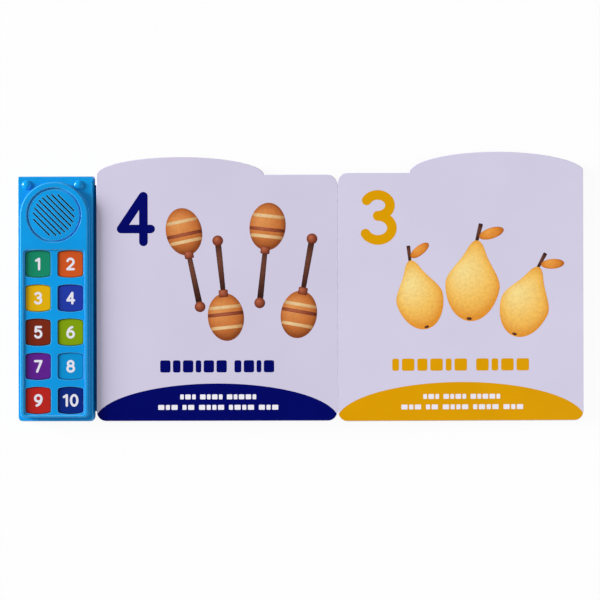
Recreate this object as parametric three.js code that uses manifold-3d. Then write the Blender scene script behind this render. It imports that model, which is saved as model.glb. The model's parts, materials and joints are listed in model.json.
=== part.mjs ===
// A child's board book with ten sound buttons, lying open. Millimetres, +Z up, +Y towards the pages' heads.
// The book reads from right to left, so the sound module stands on the back cover, at the left.
// Until the last lines the fold between the two stacks of pages runs along Y at x = 0.
import * as THREE from 'three';
import { mergeVertices } from 'three/addons/utils/BufferGeometryUtils.js';
import Module from 'manifold-3d';

const wasm = await Module();
wasm.setup();

// Boards and leaves
const boardThickness = 2.2;
const leftLeafCount = 3;
const edgeChamfer = 0.35;
const pageCornerRadius = 8;
const leftPageWidth = 207;
const leftPageTop = 107.5;
const leftPageBottom = -104.3;
const leftHumpCentre = 135.3;
const leftHumpHalfWidth = 72.2;
const leftHumpHeight = 15.4;
const rightPageExtraWidth = 5.5;
const rightPageTop = 109;
const rightPageBottom = -104.8;
const rightHumpCentre = 138;
const rightHumpHalfWidth = 76.2;
const rightHumpHeight = 18.3;

// Fold and spine
const innerEdgeSetback = 0.25;
const turnedGap = 0.3;
const spineThickness = 0.7;
const spineClearance = 0.2;

// Module outline, measured at its base on the board
const moduleGap = 2.5;
const moduleWidth = 65.8;
const moduleTop = 107.2;
const moduleBottom = -105;
const moduleTopRadius = 2;
const moduleBottomRadius = 4;
const moduleBoardMargin = 0.3;
const shoulderDraft = 0.8;
const shoulderBevel = 0.8;
const wall = 1.8;
const roofThickness = 1.6;

// Plateau, tray and grille
const plateauHalfWidth = 29.4;
const plateauBottom = -100.9;
const archCentreY = 72;
const plateauDraft = 0.4;
const plateauBevel = 0.7;
const trayHalfWidth = 26.4;
const trayTopY = 43.2;
const trayBottomY = -98.6;
const trayRadius = 3;
const trayDepth = 1;
const speakerY = 72.8;
const recessRadius = 23.6;
const recessDepth = 1.6;
const domeRadius = 21.8;
const domeEdge = 0.9;
const domeRise = 0.6;
const domeWall = 1.3;
const slotCount = 9;
const slotPitch = 3.7;
const slotWidth = 1.2;
const slotFieldRadius = 18;

// Buttons
const buttonColumns = 2;
const buttonRows = 5;
const columnPitch = 27.8;
const rowPitch = 29.2;
const topRowY = 30.9;
const windowHalfWidth = 11.1;
const windowHalfHeight = 10.3;
const windowBulge = 1.5;
const windowCornerRadius = 1.8;
const buttonClearance = 0.3;
const buttonLip = 0.6;
const buttonFlangeThickness = 0.8;
const buttonBevel = 0.45;
const buttonRecess = 0.8;
const buttonTravel = 0.8;

// Layers inside the module, from the battery door up
const panFloor = 1.6;
const doorThickness = 1.4;
const contactThickness = 0.3;
const cellRadius = 5.8;
const cellHeight = 5.4;
const cellEdge = 0.4;
const circuitBoardGap = 0.2;
const circuitBoardThickness = 1;
const membraneThickness = 0.5;
const padHeight = 0.3;
const padRadius = 4;
const seatGap = 0.3;
const pressGap = 0.1;

// Rear housing, battery compartment and screws
const cutoutMargin = 5.6;
const fitGap = 0.3;
const rearWall = 1.6;
const rearFlangeThickness = 1.2;
const compartmentY = -27;
const doorHalfWidth = 8.5;
const doorHalfLength = 27;
const doorLedge = 1.2;
const doorSeatGap = 0.1;
const compartmentWall = 1.2;
const cellPitch = 12.6;
const cellCount = 3;
const doorScrewInset = 6;
const bossRadius = 2.4;
const rearBossRadius = 3.1;
const bossJoinHeight = 4;
const screwHeadRadius = 2.1;
const screwHeadHeight = 1.2;
const screwHeadRecess = 0.5;
const screwShaftRadius = 1;
const screwLength = 5;
const topScrewInset = 10.9;
const topScrewDrop = 9.8;
const middleScrewInset = 11.9;
const middleScrewY = 50;

// Circuit board, chip, speaker, leads and studs
const circuitBoardSideGap = 2.2;
const circuitBoardTopY = 46.4;
const circuitBoardBottomY = -98;
const membraneTopY = 44.2;
const chipRadius = 5.5;
const chipHeight = 1.2;
const chipY = 32;
const speakerRadius = 21.2;
const speakerRim = 1;
const speakerBackRadius = 9;
const speakerDepth = 4.6;
const speakerWall = 0.8;
const coneRise = 2.3;
const coneThickness = 0.4;
const coneSetback = 1.5;
const magnetRadius = 8.6;
const magnetHeight = 3;
const leadRadius = 0.5;
const leadSpacing = 8;
const studRadius = 4;
const studHeight = 2.2;
const studSpacing = 44.6;
const studMiddleX = -1.9;
const studY = 98.9;

// Heights and places that follow from the sizes above
const pageTop = boardThickness * (leftLeafCount + 1);
const rightPageWidth = leftPageWidth + rightPageExtraWidth;
const rightStackThickness = 2 * boardThickness + turnedGap;
const moduleRight = -(innerEdgeSetback + leftPageWidth + moduleGap);
const moduleX = moduleRight - moduleWidth / 2;
const cellBottom = doorThickness + contactThickness;
const cellTop = cellBottom + cellHeight;
const circuitBoardBottom = cellTop + contactThickness + circuitBoardGap;
const circuitBoardTop = circuitBoardBottom + circuitBoardThickness;
const membraneTop = circuitBoardTop + membraneThickness;
const padTop = membraneTop + padHeight;
const buttonBottom = padTop + buttonTravel + pressGap;
const roofUnderside = buttonBottom + buttonFlangeThickness + seatGap;
const trayFloor = roofUnderside + roofThickness;
const plateauTop = trayFloor + trayDepth;
const buttonTop = trayFloor - buttonRecess;
const compartmentTop = cellTop - seatGap;
const circuitBoardHalfWidth = plateauHalfWidth - wall - circuitBoardSideGap;
const topScrewX = moduleWidth / 2 - topScrewInset;
const topScrewY = moduleTop - topScrewDrop;
const middleScrewX = moduleWidth / 2 - middleScrewInset;
const cut = 1;

const colours = {
  page: 0xd2cce2,
  board: 0xcfc9dd,
  moduleBlue: 0x0091dc,
  rearBlue: 0x0a6fb4,
  rubber: 0x3a3d42,
  circuit: 0x2f6b3a,
  black: 0x1b1c1f,
  steel: 0xb9bcc0,
  cone: 0x2a2c30,
};
const buttonColours = [
  0x1b9174, 0xd05724, 0xe3b200, 0x293da6, 0x7b2713, 0x87a400, 0x6a2492, 0x0493d7, 0xc22a23, 0x00277f,
];

// Outlines. Each gives its points counter-clockwise, drawn in by an inset, and always as many points.

function arcPoints(x, y, radiusX, radiusY, startDegrees, endDegrees, steps) {
  const points = [];
  for (let step = 0; step <= steps; step += 1) {
    const angle = THREE.MathUtils.degToRad(startDegrees + ((endDegrees - startDegrees) * step) / steps);
    points.push(new THREE.Vector2(x + radiusX * Math.cos(angle), y + radiusY * Math.sin(angle)));
  }
  return points;
}

function roundedRectangle(left, right, bottom, top, bottomRadius, topRadius) {
  const cornerSteps = 3;
  const smallestRadius = 0.6;
  return (inset) => {
    const low = Math.max(bottomRadius - inset, smallestRadius);
    const high = Math.max(topRadius - inset, smallestRadius);
    return [
      ...arcPoints(left + inset + low, bottom + inset + low, low, low, 180, 270, cornerSteps),
      ...arcPoints(right - inset - low, bottom + inset + low, low, low, 270, 360, cornerSteps),
      ...arcPoints(right - inset - high, top - inset - high, high, high, 0, 90, cornerSteps),
      ...arcPoints(left + inset + high, top - inset - high, high, high, 90, 180, cornerSteps),
    ];
  };
}

function tombstone(halfWidth, bottom, archY, cornerRadius) {
  const cornerSteps = 3;
  const archSteps = 24;
  return (inset) => {
    const half = halfWidth - inset;
    const radius = Math.max(cornerRadius - inset, 0.6);
    return [
      ...arcPoints(-half + radius, bottom + inset + radius, radius, radius, 180, 270, cornerSteps),
      ...arcPoints(half - radius, bottom + inset + radius, radius, radius, 270, 360, cornerSteps),
      ...arcPoints(0, archY, half, half, 0, 180, archSteps),
    ];
  };
}

// A page: straight foot and sides, a level head by the fold, and a half-ellipse hump towards the fore edge.
// The side is 1 for a page that runs to +X from the fold and -1 for one that runs to -X.
function pageOutline(side, page) {
  const humpSteps = 20;
  const cornerSteps = 4;
  return (inset) => {
    const foreEdge = innerEdgeSetback + page.width - inset;
    const foldEdge = innerEdgeSetback + inset;
    const foot = page.bottom + inset;
    const head = page.top - inset;
    const radius = pageCornerRadius - inset;
    const humpHalfWidth = page.humpHalfWidth - inset;
    const humpStart = THREE.MathUtils.radToDeg(
      Math.acos(Math.min((foreEdge - page.humpCentre) / humpHalfWidth, 1)),
    );
    const points = [
      ...arcPoints(foldEdge + radius, foot + radius, radius, radius, 180, 270, cornerSteps),
      ...arcPoints(foreEdge - radius, foot + radius, radius, radius, 270, 360, cornerSteps),
      ...arcPoints(page.humpCentre, head, humpHalfWidth, page.humpHeight, humpStart, 180, humpSteps),
      ...arcPoints(foldEdge + radius, head - radius, radius, radius, 90, 180, cornerSteps),
    ];
    const mirrored = points.map((point) => new THREE.Vector2(side * point.x, point.y));
    return side > 0 ? mirrored : mirrored.reverse();
  };
}

// A button window: straight sides, and a head and foot that bulge as shallow parabolas.
function barrel(x, y) {
  const bulgeSteps = 6;
  const cornerSteps = 2;
  return (inset) => {
    const half = windowHalfWidth - inset;
    const corner = windowHalfHeight - inset;
    const radius = windowCornerRadius;
    const edge = (along) => corner + windowBulge * (1 - (along / half) ** 2);
    const lift = edge(half - radius) - corner;
    const quarter = arcPoints(half - radius, corner - radius, radius, radius + lift, 0, 90, cornerSteps);
    const head = [];
    for (let step = 1; step < bulgeSteps; step += 1) {
      const along = (half - radius) * (1 - (2 * step) / bulgeSteps);
      head.push(new THREE.Vector2(along, edge(along)));
    }
    const upper = [
      ...quarter,
      ...head,
      ...quarter.map((point) => new THREE.Vector2(-point.x, point.y)).reverse(),
    ];
    const lower = upper.map((point) => new THREE.Vector2(-point.x, -point.y));
    return [...upper, ...lower].map((point) => new THREE.Vector2(x + point.x, y + point.y));
  };
}

// Solids

// Joins an outline's rings at the given levels, each [height, inset], into one closed solid.
function loft(outline, levels) {
  const rings = levels.map(([, inset]) => outline(inset));
  const count = rings[0].length;
  const positions = [];
  rings.forEach((ring, level) => {
    ring.forEach((point) => positions.push(point.x, point.y, levels[level][0]));
  });
  const indices = [];
  THREE.ShapeUtils.triangulateShape(rings[0], []).forEach(([a, b, c]) => indices.push(a, c, b));
  const last = (rings.length - 1) * count;
  const topFaces = THREE.ShapeUtils.triangulateShape(rings[rings.length - 1], []);
  topFaces.forEach(([a, b, c]) => indices.push(last + a, last + b, last + c));
  for (let level = 0; level < rings.length - 1; level += 1) {
    for (let index = 0; index < count; index += 1) {
      const next = (index + 1) % count;
      const low = level * count;
      const high = low + count;
      indices.push(low + index, low + next, high + next);
      indices.push(low + index, high + next, high + index);
    }
  }
  const geometry = new THREE.BufferGeometry();
  geometry.setAttribute('position', new THREE.Float32BufferAttribute(positions, 3));
  geometry.setIndex(indices);
  return geometry;
}

// Turns a profile of [radius, height] pairs, from the foot up, about an upright axis at (x, y).
function turned(profile, x, y, steps) {
  const points = profile.map(([radius, height]) => new THREE.Vector2(radius, height));
  const geometry = new THREE.LatheGeometry(points, steps);
  geometry.rotateX(Math.PI / 2);
  geometry.translate(x, y, 0);
  return geometry;
}

function cylinder(x, y, radius, bottom, top, steps = 14) {
  return turned([[0, bottom], [radius, bottom], [radius, top], [0, top]], x, y, steps);
}

function box(left, right, front, back, bottom, top) {
  const geometry = new THREE.BoxGeometry(right - left, back - front, top - bottom);
  geometry.translate((left + right) / 2, (front + back) / 2, (bottom + top) / 2);
  return geometry;
}

function solid(geometry) {
  const bare = geometry.clone();
  bare.deleteAttribute('normal');
  bare.deleteAttribute('uv');
  const merged = mergeVertices(bare, 1e-4);
  return new wasm.Manifold(new wasm.Mesh({
    numProp: 3,
    vertProperties: new Float32Array(merged.attributes.position.array),
    triVerts: new Uint32Array(merged.index.array),
  }));
}

function joined(base, additions) {
  return additions.reduce((result, geometry) => result.add(solid(geometry)), base);
}

function without(base, removals) {
  return removals.reduce((result, geometry) => result.subtract(solid(geometry)), base);
}

function geometryOf(manifold) {
  const result = manifold.getMesh();
  const geometry = new THREE.BufferGeometry();
  geometry.setAttribute('position', new THREE.BufferAttribute(result.vertProperties, 3));
  geometry.setIndex(new THREE.BufferAttribute(result.triVerts, 1));
  return geometry;
}

function piece(name, geometry, colour, roughness = 0.5, metalness = 0) {
  geometry.computeVertexNormals();
  const material = new THREE.MeshStandardMaterial({ color: colour, roughness, metalness });
  const mesh = new THREE.Mesh(geometry, material);
  mesh.name = name;
  return mesh;
}

// Book

const leftPage = {
  width: leftPageWidth,
  top: leftPageTop,
  bottom: leftPageBottom,
  humpCentre: leftHumpCentre,
  humpHalfWidth: leftHumpHalfWidth,
  humpHeight: leftHumpHeight,
};
const rightPage = {
  width: rightPageWidth,
  top: rightPageTop,
  bottom: rightPageBottom,
  humpCentre: rightHumpCentre,
  humpHalfWidth: rightHumpHalfWidth,
  humpHeight: rightHumpHeight,
};

// The module's outline is drawn about its own middle line.
const moduleOutline = roundedRectangle(
  -moduleWidth / 2, moduleWidth / 2, moduleBottom, moduleTop, moduleBottomRadius, moduleTopRadius,
);

function boardLevels(bottom) {
  return [
    [bottom, edgeChamfer],
    [bottom + edgeChamfer, 0],
    [bottom + boardThickness - edgeChamfer, 0],
    [bottom + boardThickness, edgeChamfer],
  ];
}

function makeBackCover() {
  const pageBoard = solid(loft(pageOutline(-1, leftPage), boardLevels(0)));
  const moduleBoard = loft((inset) => moduleOutline(inset + moduleBoardMargin), boardLevels(0));
  moduleBoard.translate(moduleX, 0, 0);
  const bridge = box(
    moduleRight - moduleGap, moduleRight + 2 * moduleGap,
    leftPageBottom + pageCornerRadius, leftPageTop - pageCornerRadius, 0, boardThickness,
  );
  const cutout = loft(moduleOutline, [[-cut, cutoutMargin], [boardThickness + cut, cutoutMargin]]);
  cutout.translate(moduleX, 0, 0);
  const board = without(joined(pageBoard, [moduleBoard, bridge]), [cutout]);
  return piece('back_cover', geometryOf(board), colours.board, 0.6);
}

// Three leaves pressed together, with a small groove where one leaf meets the next.
function makeLeftLeaves() {
  const levels = [[boardThickness, edgeChamfer]];
  for (let leaf = 1; leaf <= leftLeafCount; leaf += 1) {
    levels.push(...boardLevels(leaf * boardThickness).slice(1));
  }
  return piece('left_leaves', loft(pageOutline(-1, leftPage), levels), colours.page, 0.4);
}

// The turned leaf and the front cover lie tilted: the inner edge is level with page 4, and the
// cover's outer lower edge touches the ground. The group turns about the fold.
function makeRightStack() {
  const foldHeight = pageTop + turnedGap / 2;
  const reach = innerEdgeSetback + rightPageWidth;
  const drop = turnedGap / 2 + rightStackThickness;
  const tilt = Math.asin(foldHeight / Math.hypot(reach, drop)) - Math.atan2(drop, reach);
  const outline = pageOutline(1, rightPage);
  const leafBottom = -turnedGap / 2 - boardThickness;
  const coverBottom = leafBottom - turnedGap - boardThickness;
  const stack = new THREE.Group();
  stack.add(piece('turned_leaf', loft(outline, boardLevels(leafBottom)), colours.page, 0.4));
  // The cover's outer lower edge is square, so that it meets the ground where the tilt expects it.
  const coverLevels = [[coverBottom, 0], ...boardLevels(coverBottom).slice(2)];
  stack.add(piece('front_cover', loft(outline, coverLevels), colours.board, 0.6));
  stack.position.z = foldHeight;
  stack.rotation.y = tilt;
  return stack;
}

// The spine lies flat under the right stack and stands up beside the boards as the book closes.
function makeSpineStrip() {
  const hingeX = spineThickness + spineClearance - innerEdgeSetback;
  const closedHeight = pageTop + turnedGap + rightStackThickness;
  const outline = roundedRectangle(
    hingeX, hingeX + closedHeight,
    leftPageBottom + pageCornerRadius, leftPageTop - pageCornerRadius, 1, 1,
  );
  return piece('spine_strip', loft(outline, [[0, 0], [spineThickness, 0]]), colours.board, 0.6);
}

// Module

function screwPlaces() {
  const crossing = (row) => topRowY - (row + 0.5) * rowPitch;
  return [
    { x: -topScrewX, y: topScrewY, deep: false },
    { x: topScrewX, y: topScrewY, deep: false },
    { x: -middleScrewX, y: middleScrewY, deep: true },
    { x: middleScrewX, y: middleScrewY, deep: true },
    { x: 0, y: crossing(0), deep: true },
    { x: 0, y: crossing(buttonRows - 2), deep: true },
  ];
}

function buttonPlaces() {
  const places = [];
  for (let row = 0; row < buttonRows; row += 1) {
    for (let column = 0; column < buttonColumns; column += 1) {
      const x = (column - (buttonColumns - 1) / 2) * columnPitch;
      places.push({ x, y: topRowY - row * rowPitch });
    }
  }
  return places;
}

// A cap of a sphere above a flat disc, as a turned solid with a short skirt below it.
function cap(radius, rise, rimHeight, skirt) {
  const sphere = (radius ** 2 + rise ** 2) / (2 * rise);
  const steps = 3;
  const profile = [[0, rimHeight - skirt], [radius, rimHeight - skirt]];
  for (let step = 0; step <= steps; step += 1) {
    const across = radius * (1 - step / steps);
    profile.push([across, rimHeight + rise - sphere + Math.sqrt(sphere ** 2 - across ** 2)]);
  }
  return turned(profile, 0, speakerY, 36);
}

function slot(index) {
  const offset = (index - (slotCount - 1) / 2) * slotPitch;
  const half = Math.sqrt(slotFieldRadius ** 2 - offset ** 2);
  const outline = roundedRectangle(
    -half, half, offset - slotWidth / 2, offset + slotWidth / 2, slotWidth / 2, slotWidth / 2,
  );
  const geometry = loft(outline, [[circuitBoardTop, 0], [plateauTop + cut, 0]]);
  geometry.rotateZ(-Math.PI / 4);
  geometry.translate(0, speakerY, 0);
  return geometry;
}

function makeFrontHousing() {
  const plateau = tombstone(plateauHalfWidth, plateauBottom, archCentreY, moduleBottomRadius);
  const shell = loft(moduleOutline, [
    [boardThickness, 0],
    [pageTop - shoulderBevel, shoulderDraft],
    [pageTop, shoulderDraft + shoulderBevel / 2],
  ]);
  const plateauBlock = loft(plateau, [
    [pageTop - roofThickness / 2, 0],
    [plateauTop - plateauBevel, plateauDraft],
    [plateauTop, plateauDraft + plateauBevel],
  ]);
  const lowerHollow = loft(moduleOutline, [[boardThickness - cut, wall], [pageTop - roofThickness, wall]]);
  const upperHollow = loft(plateau, [[pageTop - roofThickness - cut, wall], [roofUnderside, wall]]);
  const tray = loft(
    roundedRectangle(-trayHalfWidth, trayHalfWidth, trayBottomY, trayTopY, trayRadius, trayRadius),
    [[trayFloor, 0], [plateauTop + cut, 0]],
  );
  const recessFloor = plateauTop - recessDepth;
  const recess = cylinder(0, speakerY, recessRadius, recessFloor, plateauTop + cut, 36);
  const dome = cap(domeRadius, domeRise, recessFloor + domeEdge, domeEdge + roofThickness / 4);
  const domeHollow = cap(domeRadius - domeWall, domeRise, recessFloor + domeEdge - domeWall, domeWall + cut);
  const windows = buttonPlaces().map(({ x, y }) => (
    loft(barrel(x, y), [[roofUnderside - cut, 0], [plateauTop, 0]])
  ));
  const bosses = screwPlaces().map(({ x, y, deep }) => {
    const top = deep ? roofUnderside + cut / 2 : pageTop - roofThickness + cut / 2;
    return cylinder(x, y, bossRadius, bossJoinHeight + seatGap, top);
  });
  const pilots = screwPlaces().map(({ x, y }) => (
    cylinder(x, y, screwShaftRadius + fitGap, bossJoinHeight - cut, pageTop - roofThickness, 10)
  ));
  const slots = [];
  for (let index = 0; index < slotCount; index += 1) {
    slots.push(slot(index));
  }
  let housing = joined(solid(shell), [plateauBlock]);
  housing = without(housing, [lowerHollow, upperHollow, tray, recess]);
  housing = joined(housing, [dome, ...bosses]);
  housing = without(housing, [domeHollow, ...windows, ...slots, ...pilots]);
  return piece('front_housing', geometryOf(housing), colours.moduleBlue, 0.25);
}

// The pan stands in the cover's cut-out and its flange lies on the board, under the front housing.
function makeRearHousing() {
  const panInset = cutoutMargin + fitGap;
  const flangeInset = wall + fitGap;
  const flangeTop = boardThickness + rearFlangeThickness;
  const pan = loft(moduleOutline, [
    [0, panInset],
    [boardThickness, panInset],
    [boardThickness, flangeInset],
    [flangeTop, flangeInset],
  ]);
  const hollowInset = panInset + rearWall;
  const hollow = loft(moduleOutline, [[panFloor, hollowInset], [flangeTop + cut, hollowInset]]);
  const openingX = doorHalfWidth + fitGap;
  const openingY = doorHalfLength + fitGap;
  const outerX = openingX + compartmentWall;
  const outerY = openingY + compartmentWall;
  const block = box(-outerX, outerX, compartmentY - outerY, compartmentY + outerY, 0, compartmentTop);
  const seat = doorThickness + doorSeatGap;
  const doorRecess = box(
    -openingX, openingX, compartmentY - openingY, compartmentY + openingY, -cut, seat,
  );
  const innerX = openingX - doorLedge;
  const lowEnd = compartmentY - openingY + doorLedge;
  const highEnd = lowEnd + (cellCount - 1) * cellPitch + 2 * (cellRadius + seatGap);
  const cellRoom = box(-innerX, innerX, lowEnd, highEnd, doorThickness, compartmentTop + cut);
  const doorScrewY = compartmentY + doorHalfLength - doorScrewInset;
  const doorPilot = cylinder(0, doorScrewY, screwShaftRadius + fitGap, seat - cut, compartmentTop - cut, 12);
  const bosses = screwPlaces().map(({ x, y }) => cylinder(x, y, rearBossRadius, 0, bossJoinHeight));
  const holes = screwPlaces().map(({ x, y }) => (
    cylinder(x, y, screwShaftRadius + fitGap, -cut, bossJoinHeight + cut, 10)
  ));
  const counterbores = screwPlaces().map(({ x, y }) => (
    cylinder(x, y, screwHeadRadius + fitGap, -cut, screwHeadRecess + screwHeadHeight, 12)
  ));
  let housing = joined(without(solid(pan), [hollow]), [block, ...bosses]);
  housing = without(housing, [doorRecess, cellRoom, doorPilot, ...holes, ...counterbores]);
  return piece('rear_housing', geometryOf(housing), colours.rearBlue, 0.5);
}

// A pan-head screw that points up, with a cross recess in its head.
function screw(name, x, y, headBottom, headHeight, length) {
  const headTop = headBottom + headHeight;
  const body = solid(turned([
    [0, headBottom],
    [screwHeadRadius, headBottom],
    [screwHeadRadius, headTop],
    [screwShaftRadius, headTop],
    [screwShaftRadius, headTop + length - screwShaftRadius],
    [0, headTop + length],
  ], x, y, 10));
  const recessHalfLength = screwHeadRadius * 0.6;
  const recessHalfWidth = screwHeadRadius * 0.15;
  const recessTop = headBottom + headHeight / 2;
  const cross = without(body, [
    box(x - recessHalfLength, x + recessHalfLength, y - recessHalfWidth, y + recessHalfWidth,
      headBottom - cut, recessTop),
    box(x - recessHalfWidth, x + recessHalfWidth, y - recessHalfLength, y + recessHalfLength,
      headBottom - cut, recessTop),
  ]);
  return piece(name, geometryOf(cross), colours.steel, 0.35, 1);
}

function makeHousingScrews() {
  return screwPlaces().map(({ x, y }, index) => (
    screw(`housing_screw_${index + 1}`, x, y, screwHeadRecess, screwHeadHeight, screwLength)
  ));
}

function makeButtons() {
  return buttonPlaces().map(({ x, y }, index) => {
    const flangeTop = buttonBottom + buttonFlangeThickness;
    const geometry = loft(barrel(x, y), [
      [buttonBottom, -buttonLip],
      [flangeTop, -buttonLip],
      [flangeTop, buttonClearance],
      [buttonTop - buttonBevel, buttonClearance],
      [buttonTop, buttonClearance + buttonBevel],
    ]);
    return piece(`button_${index + 1}`, geometry, buttonColours[index], 0.35);
  });
}

// The board and the rubber sheet on it are threaded on the two bosses between the button columns.
function bossHoles(bottom, top) {
  return screwPlaces()
    .filter(({ x }) => x === 0)
    .map(({ x, y }) => cylinder(x, y, bossRadius + fitGap, bottom - cut, top + cut));
}

function makeCircuitBoard() {
  const outline = roundedRectangle(
    -circuitBoardHalfWidth, circuitBoardHalfWidth, circuitBoardBottomY, circuitBoardTopY, 1, 1,
  );
  const plate = solid(loft(outline, [[circuitBoardBottom, 0], [circuitBoardTop, 0]]));
  const drilled = without(plate, bossHoles(circuitBoardBottom, circuitBoardTop));
  return piece('circuit_board', geometryOf(drilled), colours.circuit, 0.4);
}

function makeMembrane() {
  const outline = roundedRectangle(
    -circuitBoardHalfWidth, circuitBoardHalfWidth, circuitBoardBottomY, membraneTopY, 1, 1,
  );
  const sheet = solid(loft(outline, [[circuitBoardTop, 0], [membraneTop, 0]]));
  const pads = buttonPlaces().map(({ x, y }) => cylinder(x, y, padRadius, circuitBoardTop, padTop, 16));
  const membrane = without(joined(sheet, pads), bossHoles(circuitBoardTop, padTop));
  return piece('keypad_membrane', geometryOf(membrane), colours.rubber, 0.8);
}

// A blob of resin over the chip, on the board's underside.
function makeSoundChip() {
  const profile = [
    [0, circuitBoardBottom - chipHeight],
    [chipRadius * 0.6, circuitBoardBottom - chipHeight * 0.8],
    [chipRadius, circuitBoardBottom],
    [0, circuitBoardBottom],
  ];
  return piece('sound_chip', turned(profile, 0, chipY, 16), colours.black, 0.4);
}

function makeSpeaker() {
  const rimTop = roofUnderside - seatGap;
  const backBottom = rimTop - speakerDepth;
  const innerRadius = speakerRadius - 2 * speakerWall;
  const frame = turned([
    [speakerBackRadius / 2, backBottom],
    [speakerBackRadius, backBottom],
    [innerRadius + speakerWall / 2, rimTop - speakerRim],
    [speakerRadius, rimTop - speakerRim],
    [speakerRadius, rimTop],
    [innerRadius, rimTop],
    [speakerBackRadius - speakerWall / 2, backBottom + speakerWall],
    [speakerBackRadius / 2, backBottom + speakerWall],
    [speakerBackRadius / 2, backBottom],
  ], 0, speakerY, 24);
  const coneRadius = innerRadius - coneSetback;
  const coneRim = rimTop - coneThickness;
  const coneFoot = coneRim - coneRise;
  const cone = turned([
    [0, coneFoot],
    [speakerBackRadius / 2, coneFoot - coneThickness],
    [coneRadius, coneRim],
    [coneRadius, rimTop],
    [speakerBackRadius / 2, coneFoot],
    [0, coneFoot + coneThickness],
  ], 0, speakerY, 24);
  const magnetTop = backBottom - seatGap;
  const magnet = cylinder(0, speakerY, magnetRadius, magnetTop - magnetHeight, magnetTop, 20);
  return [
    piece('speaker_frame', frame, colours.steel, 0.4, 1),
    piece('speaker_cone', cone, colours.cone, 0.7),
    piece('speaker_magnet', magnet, colours.black, 0.5),
  ];
}

// Two leads run from under the speaker's basket to the head of the circuit board.
function makeSpeakerLeads() {
  const section = new THREE.Shape(arcPoints(0, 0, leadRadius, leadRadius, 0, 315, 7));
  const boardEnd = circuitBoardTop + leadRadius + contactThickness / 2;
  const basketFoot = roofUnderside - seatGap - speakerDepth;
  const leads = [-1, 1].map((side) => {
    const x = (side * leadSpacing) / 2;
    const route = new THREE.CatmullRomCurve3([
      new THREE.Vector3(x, circuitBoardTopY - leadRadius, boardEnd),
      new THREE.Vector3(x, circuitBoardTopY + seatGap * 5, boardEnd),
      new THREE.Vector3(x, speakerY - speakerRadius, basketFoot + leadRadius),
      new THREE.Vector3(x, speakerY - speakerBackRadius - leadRadius, basketFoot - leadRadius - seatGap),
    ]);
    return new THREE.ExtrudeGeometry(section, { extrudePath: route, steps: 10, bevelEnabled: false });
  });
  return [
    piece('speaker_lead_1', leads[0], 0xb3261e, 0.6),
    piece('speaker_lead_2', leads[1], colours.black, 0.6),
  ];
}

// Three cells lie flat in a row, joined in series by contact strips above and below them in turn.
function makeBatteries() {
  const firstY = compartmentY - doorHalfLength - fitGap + doorLedge + seatGap + cellRadius;
  const cellY = (index) => firstY + index * cellPitch;
  const contactHalfWidth = cellRadius / 2;
  const strip = (name, first, last, bottom) => piece(name, box(
    -contactHalfWidth, contactHalfWidth, cellY(first) - contactHalfWidth, cellY(last) + contactHalfWidth,
    bottom, bottom + contactThickness,
  ), colours.steel, 0.3, 1);
  const pieces = [];
  for (let index = 0; index < cellCount; index += 1) {
    const cell = turned([
      [0, cellBottom],
      [cellRadius - cellEdge, cellBottom],
      [cellRadius, cellBottom + cellEdge],
      [cellRadius, cellTop],
      [0, cellTop],
    ], 0, cellY(index), 18);
    pieces.push(piece(`button_cell_${index + 1}`, cell, colours.steel, 0.3, 1));
  }
  const last = cellCount - 1;
  pieces.push(strip('battery_contact_1', 0, 0, doorThickness));
  pieces.push(strip('battery_contact_2', 0, 1, cellTop));
  pieces.push(strip('battery_contact_3', 1, last, doorThickness));
  pieces.push(strip('battery_contact_4', last, last, cellTop));
  return pieces;
}

function makeBatteryDoor() {
  const screwY = compartmentY + doorHalfLength - doorScrewInset;
  const headRoom = doorThickness / 2;
  const plate = solid(loft(
    roundedRectangle(
      -doorHalfWidth, doorHalfWidth, compartmentY - doorHalfLength, compartmentY + doorHalfLength, 0.8, 0.8,
    ),
    [[0, 0], [doorThickness, 0]],
  ));
  const door = without(plate, [
    cylinder(0, screwY, screwShaftRadius + fitGap, -cut, doorThickness + cut, 12),
    cylinder(0, screwY, screwHeadRadius + fitGap, -cut, headRoom, 16),
  ]);
  return [
    piece('battery_door', geometryOf(door), colours.rearBlue, 0.5),
    screw('battery_door_screw', 0, screwY, headRoom / 4, headRoom * 0.75, screwLength - cut),
  ];
}

function makeCornerStuds() {
  return [-1, 1].map((side) => {
    const profile = [[0, pageTop], [studRadius, pageTop]];
    const steps = 5;
    for (let step = 0; step <= steps; step += 1) {
      const angle = (Math.PI / 2) * (step / steps);
      const rim = studHeight * 0.3;
      profile.push([studRadius * Math.cos(angle), pageTop + rim + (studHeight - rim) * Math.sin(angle)]);
    }
    const name = side < 0 ? 'corner_stud_left' : 'corner_stud_right';
    const x = studMiddleX + (side * studSpacing) / 2;
    return piece(name, turned(profile, x, studY, 20), colours.moduleBlue, 0.2);
  });
}

const soundModule = new THREE.Group();
soundModule.add(
  makeFrontHousing(),
  makeRearHousing(),
  ...makeHousingScrews(),
  ...makeButtons(),
  makeMembrane(),
  makeCircuitBoard(),
  makeSoundChip(),
  ...makeSpeaker(),
  ...makeSpeakerLeads(),
  ...makeBatteries(),
  ...makeBatteryDoor(),
  ...makeCornerStuds(),
);
soundModule.position.x = moduleX;

const book = new THREE.Group();
book.add(makeBackCover(), makeLeftLeaves(), makeRightStack(), makeSpineStrip(), soundModule);

// The origin is under the middle of the whole object, on the surface that it lies on.
const middle = new THREE.Box3().setFromObject(book, true).getCenter(new THREE.Vector3());
book.position.set(-middle.x, -middle.y, 0);

export default book;
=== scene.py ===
import json
import math

import bpy
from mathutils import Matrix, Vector, geometry


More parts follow.
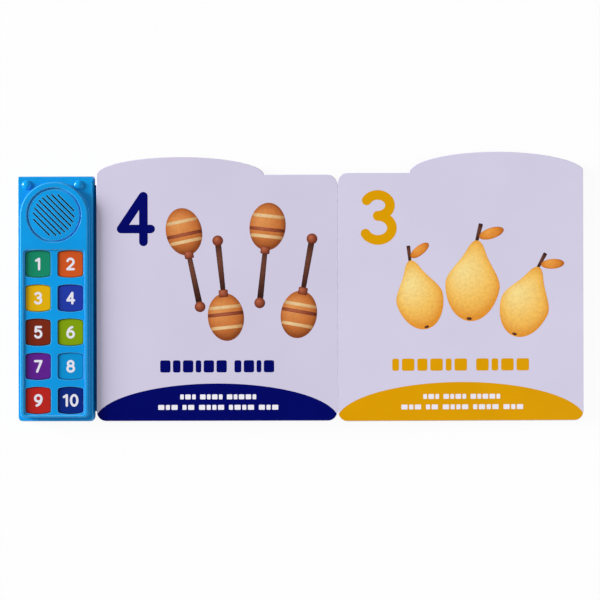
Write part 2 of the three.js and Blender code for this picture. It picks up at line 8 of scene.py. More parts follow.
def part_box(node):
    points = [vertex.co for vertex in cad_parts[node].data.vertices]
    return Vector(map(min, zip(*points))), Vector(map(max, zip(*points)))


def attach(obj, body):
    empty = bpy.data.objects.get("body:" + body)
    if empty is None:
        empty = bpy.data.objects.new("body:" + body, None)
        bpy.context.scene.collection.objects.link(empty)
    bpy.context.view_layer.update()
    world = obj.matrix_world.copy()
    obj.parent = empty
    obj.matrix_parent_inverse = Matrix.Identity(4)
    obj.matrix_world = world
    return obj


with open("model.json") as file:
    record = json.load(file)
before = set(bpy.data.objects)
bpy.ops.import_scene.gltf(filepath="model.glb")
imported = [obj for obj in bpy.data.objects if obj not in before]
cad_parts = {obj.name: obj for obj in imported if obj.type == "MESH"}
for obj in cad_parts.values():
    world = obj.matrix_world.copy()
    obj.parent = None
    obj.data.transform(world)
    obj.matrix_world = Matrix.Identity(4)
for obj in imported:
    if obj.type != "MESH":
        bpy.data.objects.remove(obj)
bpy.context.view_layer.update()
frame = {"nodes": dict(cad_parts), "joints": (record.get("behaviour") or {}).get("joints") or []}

MM = 0.001
NODES = frame["nodes"]

# Sizes of the book, in millimetres, as the solids have them
FOLD_GAP = 0.3
BOARD = 2.2
SETBACK = 0.25
CHAMFER = 0.35
PAGE_CORNER = 8
MODULE_ABOVE_MIDDLE = 1.1
hinge = next(joint for joint in frame["joints"] if joint["name"] == "front_cover_hinge")
FOLD_X = hinge["pos_m"][0]
FOLD_Z = hinge["pos_m"][2]
module_low, module_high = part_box("front_housing")
MIDDLE_Y = (module_low.y + module_high.y) / 2 - MODULE_ABOVE_MIDDLE * MM
PAGE_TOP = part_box("left_leaves")[1].z
LEFT_WIDTH = (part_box("left_leaves")[1].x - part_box("left_leaves")[0].x) / MM
RIGHT_REACH = 212.75
RIGHT_DROP = FOLD_GAP / 2 + 2 * BOARD + FOLD_GAP
TILT = math.asin(FOLD_Z / MM / math.hypot(RIGHT_REACH, RIGHT_DROP)) - math.atan2(RIGHT_DROP, RIGHT_REACH)

# The photograph looks straight down, from a point a little left of the fold
CAMERA_HEIGHT = 0.835
CAMERA_X = FOLD_X - 32.25 * MM
CAMERA_Y = MIDDLE_Y - 0.35 * MM
CAMERA_TURN = -0.12
PICTURE_WIDTH = 0.516


# Colours and materials

def linear(code):
    parts = [((code >> shift) & 255) / 255 for shift in (16, 8, 0)]
    return tuple(c / 12.92 if c <= 0.04045 else ((c + 0.055) / 1.055) ** 2.4 for c in parts) + (1.0,)


def scaled(colour, factor):
    return tuple(min(part * factor, 1.0) for part in colour[:3]) + (1.0,)


def new_material(name):
    material = bpy.data.materials.new(name)
    material.use_nodes = True
    tree = material.node_tree
    return material, tree, tree.nodes["Principled BSDF"]


def noise(tree, vector, scale, detail=3.0):
    node = tree.nodes.new("ShaderNodeTexNoise")
    node.inputs["Scale"].default_value = scale
    node.inputs["Detail"].default_value = detail
    tree.links.new(vector, node.inputs["Vector"])
    return node.outputs["Fac"]


def ramp(tree, factor, low, high, start=0.35, end=0.65):
    node = tree.nodes.new("ShaderNodeValToRGB")
    node.color_ramp.elements[0].position = start
    node.color_ramp.elements[0].color = low
    node.color_ramp.elements[1].position = end
    node.color_ramp.elements[1].color = high
    tree.links.new(factor, node.inputs["Fac"])
    return node.outputs["Color"]


def bump(tree, shader, height, strength, distance, edge_radius=0.0):
    node = tree.nodes.new("ShaderNodeBump")
    node.inputs["Strength"].default_value = strength
    node.inputs["Distance"].default_value = distance
    tree.links.new(height, node.inputs["Height"])
    if edge_radius:
        rounded = tree.nodes.new("ShaderNodeBevel")
        rounded.samples = 4
        rounded.inputs["Radius"].default_value = edge_radius
        tree.links.new(rounded.outputs["Normal"], node.inputs["Normal"])
    tree.links.new(node.outputs["Normal"], shader.inputs["Normal"])


def roughness_field(tree, shader, factor, low, high):
    node = tree.nodes.new("ShaderNodeMapRange")
    node.inputs["To Min"].default_value = low
    node.inputs["To Max"].default_value = high
    tree.links.new(factor, node.inputs["Value"])
    tree.links.new(node.outputs["Result"], shader.inputs["Roughness"])


def painted_edge_highlight(tree, colour, light, radius):
    """The colour, with a painted highlight: a light line painted along the rounded edges, standing in for the
    lamps' reflection on a glossy moulding.
    """
    rounded = tree.nodes.new("ShaderNodeBevel")
    rounded.samples = 6
    rounded.inputs["Radius"].default_value = radius
    true_normal = tree.nodes.new("ShaderNodeNewGeometry").outputs["True Normal"]
    across = tree.nodes.new("ShaderNodeVectorMath")
    across.operation = "DOT_PRODUCT"
    tree.links.new(rounded.outputs["Normal"], across.inputs[0])
    tree.links.new(true_normal, across.inputs[1])
    # Mask of the rounded edges, where the highlight colour is painted in
    edge = tree.nodes.new("ShaderNodeMapRange")
    edge.inputs["From Min"].default_value = 0.98
    edge.inputs["From Max"].default_value = 0.88
    tree.links.new(across.outputs["Value"], edge.inputs["Value"])
    mix = tree.nodes.new("ShaderNodeMix")
    mix.data_type = "RGBA"
    tree.links.new(edge.outputs["Result"], mix.inputs["Factor"])
    tree.links.new(colour, mix.inputs["A"])
    mix.inputs["B"].default_value = light
    return mix.outputs["Result"]


def moulded(name, code, roughness=0.28, variation=0.04, grain=0.1, edge_radius=0.0004, coat=0.0, line=None):
    """Moulded plastic: faint mottling, a fine moulded grain and rounded edges, and, when a line colour is
    given, a painted highlight along the edges.
    """
    material, tree, shader = new_material(name)
    place = tree.nodes.new("ShaderNodeTexCoord").outputs["Object"]
    base = linear(code)
    colour = ramp(tree, noise(tree, place, 45.0), scaled(base, 1 - variation), scaled(base, 1 + variation))
    # line is the colour of a painted highlight along the edges
    if line:
        colour = painted_edge_highlight(tree, colour, linear(line), edge_radius)
    tree.links.new(colour, shader.inputs["Base Color"])
    fine = noise(tree, place, 2200.0, 2.0)
    bump(tree, shader, fine, grain, 0.00004, edge_radius)
    roughness_field(tree, shader, noise(tree, place, 160.0), roughness - 0.05, roughness + 0.07)
    shader.inputs["Coat Weight"].default_value = coat
    shader.inputs["Coat Roughness"].default_value = 0.1
    shader.inputs["Specular IOR Level"].default_value = 0.15
    return material


def laminate_grain(tree, shader, place):
    bump(tree, shader, noise(tree, place, 900.0, 2.0), strength=0.05, distance=0.00003)


def board(name, face_code, edge_code, tilt=0.0, roughness=0.38):
    """Laminated board: a smooth coated face, and a cut edge that shows the plies of the board."""
    material, tree, shader = new_material(name)
    coordinates = tree.nodes.new("ShaderNodeTexCoord")
    place = coordinates.outputs["Object"]
    face = linear(face_code)
    edge = linear(edge_code)
    cloud = noise(tree, place, 14.0)
    face_colour = ramp(tree, cloud, scaled(face, 0.985), scaled(face, 1.012))
    turn = tree.nodes.new("ShaderNodeMapping")
    turn.inputs["Rotation"].default_value = (0.0, -tilt, 0.0)
    stretch = tree.nodes.new("ShaderNodeMapping")
    stretch.inputs["Scale"].default_value = (30.0, 30.0, 6000.0)
    tree.links.new(place, turn.inputs["Vector"])
    tree.links.new(turn.outputs["Vector"], stretch.inputs["Vector"])
    plies = noise(tree, stretch.outputs["Vector"], 1.0, 4.0)
    edge_colour = ramp(tree, plies, scaled(edge, 0.72), scaled(edge, 1.08))
    split = tree.nodes.new("ShaderNodeSeparateXYZ")
    tree.links.new(coordinates.outputs["Normal"], split.inputs["Vector"])
    upright = tree.nodes.new("ShaderNodeMath")
    upright.operation = "ABSOLUTE"
    tree.links.new(split.outputs["Z"], upright.inputs[0])
    is_face = tree.nodes.new("ShaderNodeMath")
    is_face.operation = "GREATER_THAN"
    is_face.inputs[1].default_value = 0.6
    tree.links.new(upright.outputs["Value"], is_face.inputs[0])
    mix = tree.nodes.new("ShaderNodeMix")
    mix.data_type = "RGBA"
    tree.links.new(is_face.outputs["Value"], mix.inputs["Factor"])
    tree.links.new(edge_colour, mix.inputs["A"])
    tree.links.new(face_colour, mix.inputs["B"])
    tree.links.new(mix.outputs["Result"], shader.inputs["Base Color"])
    laminate_grain(tree, shader, place)
    roughness_field(tree, shader, cloud, roughness - 0.04, roughness + 0.05)
    shader.inputs["Specular IOR Level"].default_value = 0.2
    return material


INK_SPECULAR = 0.06


def printed(name, code, roughness=0.36, variation=0.02):
    """A flat field of printing ink under the page's laminate."""
    material, tree, shader = new_material(name)
    place = tree.nodes.new("ShaderNodeTexCoord").outputs["Object"]
    colour = linear(code)
    cloud = noise(tree, place, 30.0)
    tree.links.new(
        ramp(tree, cloud, scaled(colour, 1 - variation), scaled(colour, 1 + variation)),
        shader.inputs["Base Color"],
    )
    laminate_grain(tree, shader, place)
    shader.inputs["Roughness"].default_value = roughness
    shader.inputs["Specular IOR Level"].default_value = INK_SPECULAR
    return material


def shaded_print(name, roughness=0.36):
    """Ink whose colour runs smoothly over a picture, from the shade attribute of its mesh."""
    material, tree, shader = new_material(name)
    attribute = tree.nodes.new("ShaderNodeVertexColor")
    attribute.layer_name = "shade"
    place = tree.nodes.new("ShaderNodeTexCoord").outputs["Object"]
    grain = ramp(tree, noise(tree, place, 420.0, 5.0), (0.93, 0.93, 0.93, 1), (1.06, 1.06, 1.06, 1))
    mix = tree.nodes.new("ShaderNodeMix")
    mix.data_type = "RGBA"
    mix.blend_type = "MULTIPLY"
    mix.inputs["Factor"].default_value = 1.0
    tree.links.new(attribute.outputs["Color"], mix.inputs["A"])
    tree.links.new(grain, mix.inputs["B"])
    tree.links.new(mix.outputs["Result"], shader.inputs["Base Color"])
    shader.inputs["Roughness"].default_value = roughness
    shader.inputs["Specular IOR Level"].default_value = INK_SPECULAR
    return material


def metal(name, code, roughness=0.35):
    material, tree, shader = new_material(name)
    place = tree.nodes.new("ShaderNodeTexCoord").outputs["Object"]
    colour = linear(code)
    scratches = noise(tree, place, 700.0, 4.0)
    tree.links.new(
        ramp(tree, scratches, scaled(colour, 0.85), scaled(colour, 1.05)), shader.inputs["Base Color"],
    )
    roughness_field(tree, shader, scratches, roughness - 0.1, roughness + 0.1)
    shader.inputs["Metallic"].default_value = 1.0
    return material


# Meshes on the pages. Page places are millimetres from the fold and from the pages' middle line.

def on_left(x, y, height):
    return Vector((FOLD_X + x * MM, MIDDLE_Y + y * MM, PAGE_TOP + height * MM))


def on_right(x, y, height):
    level = (height - FOLD_GAP / 2) * MM
    return Vector((
        FOLD_X + x * MM * math.cos(TILT) + level * math.sin(TILT),
        MIDDLE_Y + y * MM,
        FOLD_Z - x * MM * math.sin(TILT) + level * math.cos(TILT),
    ))


SIDES = {"left": (on_left, "back"), "right": (on_right, "front_cover")}

# How high a print's face stands above its page, and how deep its foot is sunk, in millimetres
INK = 0.03
SINK = -0.02

# How far apart in height two shapes lie where one is printed over the other
STEP_APART = 0.006


def add_piece(name, vertices, faces, material, body, colours=None):
    mesh = bpy.data.meshes.new(name)
    mesh.from_pydata([tuple(v) for v in vertices], [], faces)
    mesh.update()
    if colours:
        layer = mesh.color_attributes.new("shade", "FLOAT_COLOR", "POINT")
        layer.data.foreach_set("color", [part for colour in colours for part in colour])
    mesh.materials.append(material)
    piece = bpy.data.objects.new(name, mesh)
    bpy.context.scene.collection.objects.link(piece)
    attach(piece, body)
    return piece


def flat_plates(name, outlines, place, body, material, top=INK, shapes_apart=0.0):
    """Thin plates of ink, one for each outline of (x, y) points, all in one piece."""
    vertices = []
    faces = []
    for order, outline in enumerate(outlines):
        level = top + order * shapes_apart
        start = len(vertices)
        count = len(outline)
        vertices += [place(x, y, level) for x, y in outline]
        vertices += [place(x, y, SINK) for x, y in outline]
        triangles = geometry.tessellate_polygon([[Vector((x, y, 0)) for x, y in outline]])
        for a, b, c in triangles:
            (ax, ay), (bx, by), (cx, cy) = outline[a], outline[b], outline[c]
            upward = (bx - ax) * (cy - ay) - (by - ay) * (cx - ax) > 0
            faces.append((start + a, start + b, start + c) if upward else (start + a, start + c, start + b))
        area = sum(
            outline[i][0] * outline[(i + 1) % count][1] - outline[(i + 1) % count][0] * outline[i][1]
            for i in range(count)
        )
        for i in range(count):
            j = (i + 1) % count
            wall = (start + i, start + count + i, start + count + j, start + j)
            faces.append(wall if area > 0 else wall[::-1])
    return add_piece(name, vertices, faces, material, body)


def flat_print(name, outlines, side, material, top=INK, shapes_apart=0.0):
    place, body = SIDES[side]
    return flat_plates(name, outlines, place, body, material, top, shapes_apart)


def arc(x, y, rx, ry, start, end, steps):
    return [
        (x + rx * math.cos(math.radians(start + (end - start) * i / steps)),
         y + ry * math.sin(math.radians(start + (end - start) * i / steps)))
        for i in range(steps + 1)
    ]


def rounded_bar(left, right, bottom, top, radius, steps=5):
    return (
        arc(left + radius, bottom + radius, radius, radius, 180, 270, steps)
        + arc(right - radius, bottom + radius, radius, radius, 270, 360, steps)
        + arc(right - radius, top - radius, radius, radius, 0, 90, steps)
        + arc(left + radius, top - radius, radius, radius, 90, 180, steps)
    )


def stroke(path, width, cap_steps=10):
    """The outline of a pen stroke of one width with round ends."""
    left, right = [], []
    directions = []
    for i, point in enumerate(path):
        before = Vector(path[max(i - 1, 0)])
        after = Vector(path[min(i + 1, len(path) - 1)])
        directions.append((after - before).normalized())
    for (x, y), d in zip(path, directions):
        left.append((x - d.y * width / 2, y + d.x * width / 2))
        right.append((x + d.y * width / 2, y - d.x * width / 2))
    def cap(centre, direction):
        angle = math.degrees(math.atan2(direction.y, direction.x))
        return arc(centre[0], centre[1], width / 2, width / 2, angle - 90, angle + 90, cap_steps)[1:-1]
    return right + cap(path[-1], directions[-1]) + left[::-1] + cap(path[0], -directions[0])


# Book boards

PAGE_CODE = 0xD3CDE4
# The turned page is the same paper as the left page, painted lighter: painted light, as the lamps light the
# turned page less
TURNED_PAGE_PAINTED_LIGHTER = 0xD9D4EB
EDGE_CODE = 0xC9C6D2
COVER_CODE = 0x1F7FC4
COVER_ROUGHNESS = 0.46


def dress_boards():
    page = board("laminated_page", PAGE_CODE, EDGE_CODE)
    # The turned page's material carries the paper colour painted lighter
    tilted_page_painted_lighter = board("laminated_page_turned_painted_lighter", TURNED_PAGE_PAINTED_LIGHTER, EDGE_CODE, TILT)
    cover = board("cover_board", COVER_CODE, EDGE_CODE, roughness=COVER_ROUGHNESS)
    tilted_cover = board("cover_board_turned", COVER_CODE, EDGE_CODE, TILT, roughness=COVER_ROUGHNESS)
    for name, material in (
        ("left_leaves", page), ("turned_leaf", tilted_page_painted_lighter), ("back_cover", cover),
        ("front_cover", tilted_cover), ("spine_strip", cover),
    ):
        set_material(name, material)


def set_material(name, material):
    node = NODES[name]
    node.data.materials.clear()
    node.data.materials.append(material)
    for polygon in node.data.polygons:
        polygon.use_smooth = True
    weld = node.modifiers.new("weld", "WELD")
    weld.merge_threshold = 0.000002
    split = node.modifiers.new("crease", "EDGE_SPLIT")
    split.split_angle = math.radians(32)


# The paper of each page rounds off into the fold. The two halves meet at a crease, a hair apart,
# and each goes with its own page, so that neither reaches the spine when the book is closed.
def make_fold_edges():
    low_y, high_y = -95.0, 98.5
    crease = 0.1
    reach = 0.9
    crest = 0.02
    sunk = -0.12
    columns = 8
    # The fold's paper is lighter than the page paper: a painted highlight along the crease
    paper = printed("fold_paper_painted_highlight", 0xDAD5EC)
    for side, sign in (("left", -1), ("right", 1)):
        place, body = SIDES[side]
        ends = sorted((sign * crease, sign * reach))
        vertices = []
        for y in (low_y, high_y):
            for column in range(columns + 1):
                x = ends[0] + (ends[1] - ends[0]) * column / columns
                share = (abs(x) - crease) / (reach - crease)
                level = crest + (sunk - crest) * share * share * (3 - 2 * share)
                vertices.append(place(x, y, level))
        faces = [(a, a + 1, a + columns + 2, a + columns + 1) for a in range(columns)]
        add_piece(f"fold_edge_{side}", vertices, faces, paper, body)


# Prints

def band_outline(width, foot, centre, half_width, base, rise):
    """The coloured field at a page's foot: an arch above, and the page's own rounded foot below."""
    inset = CHAMFER + 0.05
    radius = PAGE_CORNER - inset
    inner, outer = SETBACK + inset, width + SETBACK - inset
    low = foot + inset

    def arch(x):
        return base + rise * math.sqrt(max(1 - ((x - centre) / half_width) ** 2, 0))

    def foot_line(x):
        into_corner = max(inner + radius - x, x - outer + radius, 0)
        return low + radius - math.sqrt(max(radius ** 2 - into_corner ** 2, 0))

    steps = 120
    places = [
        (inner + outer) / 2 - (outer - inner) / 2 * math.cos(math.pi * i / steps) for i in range(steps + 1)
    ]
    kept = [x for x in places if arch(x) - foot_line(x) > 0.05]
    return [(x, foot_line(x)) for x in kept] + [(x, arch(x)) for x in reversed(kept)]


def make_bands(navy, amber):
    left = band_outline(LEFT_WIDTH, foot=-104.3, centre=103.8, half_width=104.6, base=-103.9, rise=31.9)
    flat_print("band_left", [[(-x, y) for x, y in left]], "left", navy)
    width = RIGHT_REACH - SETBACK
    right = band_outline(width, foot=-104.8, centre=106.6, half_width=107.6, base=-104.6, rise=33.3)
    flat_print("band_right", [right], "right", amber)


def block_row(left, right, foot, head, groups, gap, group_gap, radius):
    """A row of plain rounded blocks in groups, which fills the width from left to right."""
    total = sum(sum(group) + gap * (len(group) - 1) for group in groups) + group_gap * (len(groups) - 1)
    factor = (right - left) / total
    blocks = []
    x = left
    for group in groups:
        for width in group:
            blocks.append(rounded_bar(x, x + width * factor, foot, head, radius, 3))
            x += (width + gap) * factor
        x += (group_gap - gap) * factor
    return blocks


# The fold's place in the photograph in pixels, and each page's millimetres per pixel
FOLD_PIXEL = 337.5
PIXEL_SIZE = {"left": 0.86, "right": 0.8635}

# The widths of the blocks in each group, as shares of their line
TITLE_LEFT = [[3, 2.2, 3, 1.6, 3, 3], [2, 3, 1.4, 3]]
TITLE_RIGHT = [[1.6, 3, 2.4, 3, 1.4, 3], [3, 1.6, 3, 3]]
LINE_ONE = [[2, 3, 2], [3, 2, 3, 2], [3, 2, 3, 3, 2]]
LINE_TWO = [[3, 2, 3], [2, 3], [3, 2, 2, 3], [2, 3, 2, 3], [3, 2, 3]]
TITLE_HEIGHT = 10.5
LINE_HEIGHT = 4.2


def page_x(side, pixel):
    return (pixel - FOLD_PIXEL) * PIXEL_SIZE[side]


def title_row(side, first_pixel, last_pixel, foot, groups):
    left, right = page_x(side, first_pixel), page_x(side, last_pixel)
    return block_row(left, right, foot, foot + TITLE_HEIGHT, groups, gap=0.7, group_gap=2.2, radius=1.6)


def line_row(side, first_pixel, last_pixel, foot, groups):
    left, right = page_x(side, first_pixel), page_x(side, last_pixel)
    return block_row(left, right, foot, foot + LINE_HEIGHT, groups, gap=0.8, group_gap=2.4, radius=0.6)


def make_lines(navy, amber, white):
    on_band = 0.05
    flat_print("title_left", title_row("left", 160, 274, -62.5, TITLE_LEFT), "left", navy)
    flat_print("title_right", title_row("right", 392, 529, -61.5, TITLE_RIGHT), "right", amber)
    small = line_row("left", 180, 256, -85.6, LINE_ONE) + line_row("left", 158, 278, -94.6, LINE_TWO)
    flat_print("lines_left", small, "left", white, on_band)
    small = line_row("right", 423, 500, -85.8, LINE_ONE) + line_row("right", 401, 523, -94.8, LINE_TWO)
    flat_print("lines_right", small, "right", white, on_band)


FOUR_STROKE = 7.4
THREE_STROKE = 8.3


def make_numerals(navy, amber):
    four = [
        stroke([(-166.8, 89.2), (-166.8, 76.0), (-166.8, 62.0), (-166.8, 49.9)], FOUR_STROKE),
        stroke([(-186.0, 61.0), (-175.0, 61.0), (-160.6, 61.0)], FOUR_STROKE),
        stroke([(-167.0, 89.2), (-176.5, 75.1), (-186.0, 61.0)], FOUR_STROKE),
    ]
    flat_print("numeral_four", four, "left", navy, shapes_apart=STEP_APART)
    three = [
        stroke(arc(34.7, 81.0, 10.7, 9.0, 152, -90, 26), THREE_STROKE),
        stroke(arc(34.9, 61.5, 12.1, 10.3, 90, -152, 30), THREE_STROKE),
    ]
    flat_print("numeral_three", three, "right", amber, shapes_apart=STEP_APART)


def toned(shade, light, middle, dark):
    """A tone from light at shade 0 through middle at a half to dark at 1."""
    shade = min(max(shade, 0.0), 1.0)
    first, second, amount = (light, middle, shade * 2) if shade < 0.5 else (middle, dark, shade * 2 - 1)
    return tuple(a + (b - a) * amount for a, b in zip(first[:3], second[:3])) + (1.0,)


# Where the light tone of a picture lies, how fast it fades from there, and how dark its rim is
LIGHT_SIDE = 0.3
FALL_OFF = 0.62
RIM_SHADE = 0.35


def picture(name, side, shapes, material):
    """Shapes of (outline function, centre, turn, tones, level), each a disc of rings with smooth tones."""
    place, body = SIDES[side]
    vertices, faces, colours = [], [], []
    rings, spokes = 9, 56
    for outline, (cx, cy), turn, tones, level in shapes:
        cosine, sine = math.cos(math.radians(turn)), math.sin(math.radians(turn))
        base = len(vertices)
        reach = max(math.hypot(*outline(2 * math.pi * s / spokes)) for s in range(spokes))
        for ring in range(rings + 1):
            for spoke in range(spokes):
                x, y = outline(2 * math.pi * spoke / spokes)
                share = max(ring, 0.02) / rings
                px, py = x * share, y * share
                gx, gy = cx + px * cosine - py * sine, cy + px * sine + py * cosine
                vertices.append(place(gx, gy, level))
                from_light = math.hypot((gx - cx) / reach + LIGHT_SIDE, (gy - cy) / reach - LIGHT_SIDE)
                colours.append(toned(from_light * FALL_OFF + RIM_SHADE * share ** 5, *tones))
        for ring in range(rings):
            for spoke in range(spokes):
                a = base + ring * spokes + spoke
                b = base + ring * spokes + (spoke + 1) % spokes
                faces.append((a, a + spokes, b + spokes, b))
        faces.append(tuple(base + spoke for spoke in range(spokes)))
    return add_piece(name, vertices, faces, material, body, colours=colours)


def ellipse(rx, ry):
    return lambda angle: (rx * math.cos(angle), ry * math.sin(angle))


def slab(half_width, half_length, taper=0.0):
    """A bar with rounded ends, narrower towards +y by the taper."""
    def outline(angle):
        c, s = math.cos(angle), math.sin(angle)
        power = 0.22
        x = math.copysign(abs(c) ** power, c)
        y = math.copysign(abs(s) ** power, s)
        return half_width * x * (1 - taper * (y + 1) / 2), half_length * y
    return outline


def pear(half_width, half_height):
    def outline(angle):
        s = math.sin(angle)
        neck = min(max((s + 0.15) / 0.95, 0.0), 1.0)
        narrow = 1 - 0.5 * neck * neck * (3 - 2 * neck)
        return half_width * narrow * math.cos(angle), half_height * s
    return outline


def turned_by(x, y, turn):
    a = math.radians(turn)
    return x * math.cos(a) - y * math.sin(a), x * math.sin(a) + y * math.cos(a)


WOOD = (linear(0xE59A58), linear(0xC9743A), linear(0x86421F))
DARK_WOOD = (linear(0x7A4A38), linear(0x4A2A22), linear(0x241412))
RED_WOOD = (linear(0xB9694A), linear(0x8E452F), linear(0x5B281B))
PALE_WOOD = (linear(0xF0D3A4), linear(0xDDB27C), linear(0xB58250))
YELLOW = (linear(0xFFE79A), linear(0xFBC661), linear(0xE8952F))
ORANGE = (linear(0xF7A94F), linear(0xE28A34), linear(0xB86220))


def make_rattles(material):
    """Four rattles in a fan, heads up and down in turn."""
    for index, (x, y, turn) in enumerate((
        (-128.0, 40.0, 12.0), (-98.0, 4.0, 186.0), (-62.0, 44.0, -6.0), (-30.0, 6.0, 170.0),
    )):
        def at(along):
            dx, dy = turned_by(0.0, along, turn)
            return x + dx, y + dy
        shapes = [
            (slab(2.7, 25.0, 0.25), at(-22.0), turn, DARK_WOOD, INK),
            (ellipse(4.6, 4.6), at(-47.0), turn, RED_WOOD, INK + STEP_APART),
            (ellipse(15.5, 20.5), at(19.0), turn, WOOD, INK + 2 * STEP_APART),
            (slab(13.8, 1.5), at(10.5), turn, PALE_WOOD, INK + 3 * STEP_APART),
            (slab(15.2, 1.5), at(16.5), turn, RED_WOOD, INK + 3 * STEP_APART),
            (slab(13.6, 1.5), at(28.0), turn, PALE_WOOD, INK + 3 * STEP_APART),
            (slab(3.9, 3.2), at(-1.4), turn, RED_WOOD, INK + 3 * STEP_APART),
        ]
        picture(f"rattle_{index + 1}", "left", shapes, material)


def make_pears(material):
    """Three pears in a loose row, leaning different ways."""
    for index, (x, y, turn, size) in enumerate((
        (70.0, 4.0, 14.0, 0.92), (117.0, 16.0, -6.0, 1.06), (163.0, -2.0, -20.0, 0.96),
    )):
        def at(across, along):
            dx, dy = turned_by(across * size, along * size, turn)
            return x + dx, y + dy
        shapes = [
            (slab(1.3 * size, 8.0 * size, -0.4), at(0.6, 39.0), turn - 8, DARK_WOOD, INK),
            (ellipse(10.5 * size, 4.4 * size), at(11.0, 40.0), turn + 24, ORANGE, INK + STEP_APART),
            (pear(22.5 * size, 33.0 * size), at(0.0, 0.0), turn, YELLOW, INK + 2 * STEP_APART),
            (ellipse(2.2 * size, 1.2 * size), at(0.0, -31.0), turn, DARK_WOOD, INK + 3 * STEP_APART),
        ]
        picture(f"pear_{index + 1}", "right", shapes, material)


# Module

BUTTON_CODES = (
    0x108764, 0xCE531C, 0xDDAC00, 0x1E37A0, 0x76240D, 0x7E9C00, 0x5E1D8B, 0x0090D2, 0xB8211A, 0x00247C,
)
MODULE_CODE = 0x0098E3


def ring(x, y, rx, ry):
    return [arc(x, y, rx, ry, 90, 270, 14), arc(x, y, rx, ry, -90, 90, 14)]


def mirrored(paths):
    return [[(-x, -y) for x, y in path] for path in paths]


# The pen paths of the numbers, in millimetres from the middle of a number
SIX = ring(0, -1.75, 2.7, 2.7) + [arc(2.3, -1.75, 5.0, 6.2, 180, 100, 12)]
DIGITS = {
    0: ring(0, 0, 2.7, 4.45),
    1: [[(0.9, 4.45), (0.9, -4.45)], [(0.9, 4.45), (-1.6, 2.9)]],
    2: [arc(0, 1.85, 2.6, 2.6, 165, -40, 14) + [(-2.6, -4.35)], [(-2.7, -4.45), (2.8, -4.45)]],
    3: [arc(-0.1, 2.3, 2.4, 2.15, 150, -90, 14), arc(-0.1, -2.05, 2.7, 2.4, 90, -150, 16)],
    4: [[(1.5, 4.45), (1.5, -4.45)], [(1.3, 4.35), (-2.7, -1.9)], [(-2.7, -1.9), (2.9, -1.9)]],
    5: [[(-1.9, 4.45), (2.4, 4.45)], [(-1.9, 4.45), (-2.2, 0.6)],
        arc(-0.1, -1.5, 2.75, 2.95, 135, -150, 16)],
    6: SIX,
    7: [[(-2.7, 4.45), (2.7, 4.45)], [(2.7, 4.45), (-0.9, -4.45)]],
    8: ring(0, 2.3, 2.3, 2.15) + ring(0, -2.0, 2.75, 2.45),
    9: mirrored(SIX),
}
DIGIT_STROKE = 2.0


def make_digit(number, material):
    """A plain bold number, printed on the face of its button."""
    low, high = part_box(f"button_{number}")
    middle = (low + high) / 2
    parts = [(DIGITS[number], 0.0)] if number < 10 else [(DIGITS[1], -4.3), (DIGITS[0], 2.9)]

    def place(x, y, height):
        return Vector((middle.x + x * MM, middle.y + y * MM, high.z + height * MM))

    outlines = [
        stroke([(x + shift, y) for x, y in path], DIGIT_STROKE, 8) for paths, shift in parts for path in paths
    ]
    body = f"button_{number}_body"
    flat_plates(f"number_{number}", outlines, place, body, material, shapes_apart=STEP_APART)


def dress_module():
    # The module's line colour 0x84D6FA is a painted highlight along its edges
    blue = moulded("module_blue", MODULE_CODE, roughness=0.22, edge_radius=0.0006, coat=0.25, line=0x84D6FA)
    rear = moulded("rear_blue", 0x0A6FB4, roughness=0.45, grain=0.3)
    for name in ("front_housing", "corner_stud_left", "corner_stud_right"):
        set_material(name, blue)
    for name in ("rear_housing", "battery_door"):
        set_material(name, rear)
    white = moulded("number_white", 0xE4E2EC, roughness=0.4, variation=0.01, edge_radius=0.0)
    for number, code in enumerate(BUTTON_CODES, start=1):
        set_material(f"button_{number}", moulded(f"button_{number}_plastic", code, roughness=0.3, coat=0.1))
        make_digit(number, white)
    steel = metal("bright_steel", 0xC2C4C8)
    for name in NODES:
        if name.startswith(("housing_screw", "battery_contact", "button_cell", "battery_door_screw")):
            set_material(name, steel)
    set_material("speaker_frame", moulded("speaker_black", 0x15181C, roughness=0.5))
    set_material("speaker_magnet", moulded("black_ferrite", 0x1B1C1F, roughness=0.5))
    set_material("speaker_cone", moulded("speaker_film", 0x0B2C46, roughness=0.5))
    set_material("sound_chip", moulded("black_resin", 0x17181A, roughness=0.35))
    set_material("circuit_board", moulded("circuit_green", 0x2F6B3A, roughness=0.4))
    set_material("keypad_membrane", moulded("keypad_rubber", 0x3A3D42, roughness=0.7))
    set_material("speaker_lead_1", moulded("lead_red", 0xB3261E, roughness=0.5))
    set_material("speaker_lead_2", moulded("lead_black", 0x1B1C1F, roughness=0.5))


# Stage

# How much of the floor's look in the camera is plain white
FLOOR_GLOW = 0.93


def make_floor():
    mesh = bpy.data.meshes.new("floor")
    reach = 6.0
    level = -0.0002
    corners = [(-reach, -reach, level), (reach, -reach, level), (reach, reach, level), (-reach, reach, level)]
    mesh.from_pydata(corners, [], [(0, 1, 2, 3)])
    floor = bpy.data.objects.new("floor", mesh)
    bpy.context.scene.collection.objects.link(floor)
    material = bpy.data.materials.new("floor")
    material.use_nodes = True
    tree = material.node_tree
    tree.nodes.clear()
    output = tree.nodes.new("ShaderNodeOutputMaterial")
    diffuse = tree.nodes.new("ShaderNodeBsdfDiffuse")
    diffuse.inputs["Color"].default_value = (0.86, 0.86, 0.87, 1)
    glow = tree.nodes.new("ShaderNodeEmission")
    glow.inputs["Color"].default_value = (1, 1, 1, 1)
    path = tree.nodes.new("ShaderNodeLightPath")
    share = tree.nodes.new("ShaderNodeMath")
    share.operation = "MULTIPLY"
    share.inputs[1].default_value = FLOOR_GLOW
    mix = tree.nodes.new("ShaderNodeMixShader")
    tree.links.new(path.outputs["Is Camera Ray"], share.inputs[0])
    tree.links.new(share.outputs["Value"], mix.inputs["Fac"])
    tree.links.new(diffuse.outputs["BSDF"], mix.inputs[1])
    tree.links.new(glow.outputs["Emission"], mix.inputs[2])
    tree.links.new(mix.outputs["Shader"], output.inputs["Surface"])
    mesh.materials.append(material)


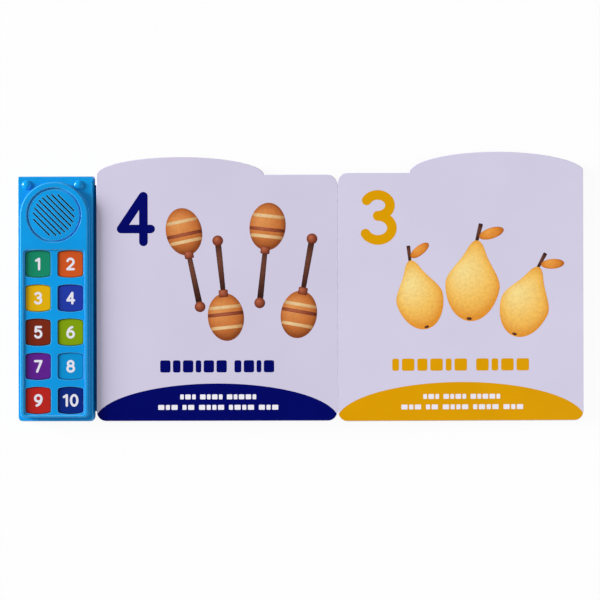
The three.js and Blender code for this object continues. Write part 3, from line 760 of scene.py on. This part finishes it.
def make_world(strength):
    world = bpy.data.worlds.new("studio")
    bpy.context.scene.world = world
    world.use_nodes = True
    tree = world.node_tree
    tree.nodes.clear()
    output = tree.nodes.new("ShaderNodeOutputWorld")
    ambient = tree.nodes.new("ShaderNodeBackground")
    ambient.inputs["Color"].default_value = (1, 1, 1, 1)
    ambient.inputs["Strength"].default_value = strength
    seen = tree.nodes.new("ShaderNodeBackground")
    seen.inputs["Color"].default_value = (1, 1, 1, 1)
    seen.inputs["Strength"].default_value = 1.0
    path = tree.nodes.new("ShaderNodeLightPath")
    mix = tree.nodes.new("ShaderNodeMixShader")
    tree.links.new(path.outputs["Is Camera Ray"], mix.inputs["Fac"])
    tree.links.new(ambient.outputs["Background"], mix.inputs[1])
    tree.links.new(seen.outputs["Background"], mix.inputs[2])
    tree.links.new(mix.outputs["Shader"], output.inputs["Surface"])


def area_light(name, direction, distance, size, power):
    light = bpy.data.lights.new(name, "AREA")
    light.shape = "SQUARE"
    light.size = size
    light.energy = power
    lamp = bpy.data.objects.new(name, light)
    bpy.context.scene.collection.objects.link(lamp)
    toward = Vector(direction).normalized()
    lamp.location = Vector((CAMERA_X, MIDDLE_Y, 0.0)) + toward * distance
    lamp.rotation_euler = toward.to_track_quat("Z", "Y").to_euler()


def make_camera():
    data = bpy.data.cameras.new("camera")
    data.sensor_width = 36.0
    distance = CAMERA_HEIGHT - PAGE_TOP
    data.lens = data.sensor_width * distance / PICTURE_WIDTH
    camera = bpy.data.objects.new("camera", data)
    bpy.context.scene.collection.objects.link(camera)
    camera.location = (CAMERA_X, CAMERA_Y, CAMERA_HEIGHT)
    camera.rotation_euler = (0.0, 0.0, math.radians(CAMERA_TURN))
    bpy.context.scene.camera = camera


bpy.context.scene.view_settings.view_transform = "Standard"
make_camera()
make_world(strength=0.29)
area_light("key", direction=(-0.90, 0.25, 0.27), distance=5.0, size=1.7, power=465.0)
area_light("fill", direction=(0.80, -0.30, 0.62), distance=1.9, size=1.2, power=11.5)
make_floor()

navy_ink = printed("navy_ink", 0x000564)
amber_ink = printed("amber_ink", 0xE2A100)
white_ink = printed("white_ink", 0xF1EEF8)
picture_ink = shaded_print("picture_ink")
dress_boards()
make_fold_edges()
make_bands(navy_ink, amber_ink)
make_lines(navy_ink, amber_ink, white_ink)
make_numerals(navy_ink, amber_ink)
make_rattles(picture_ink)
make_pears(picture_ink)
dress_module()
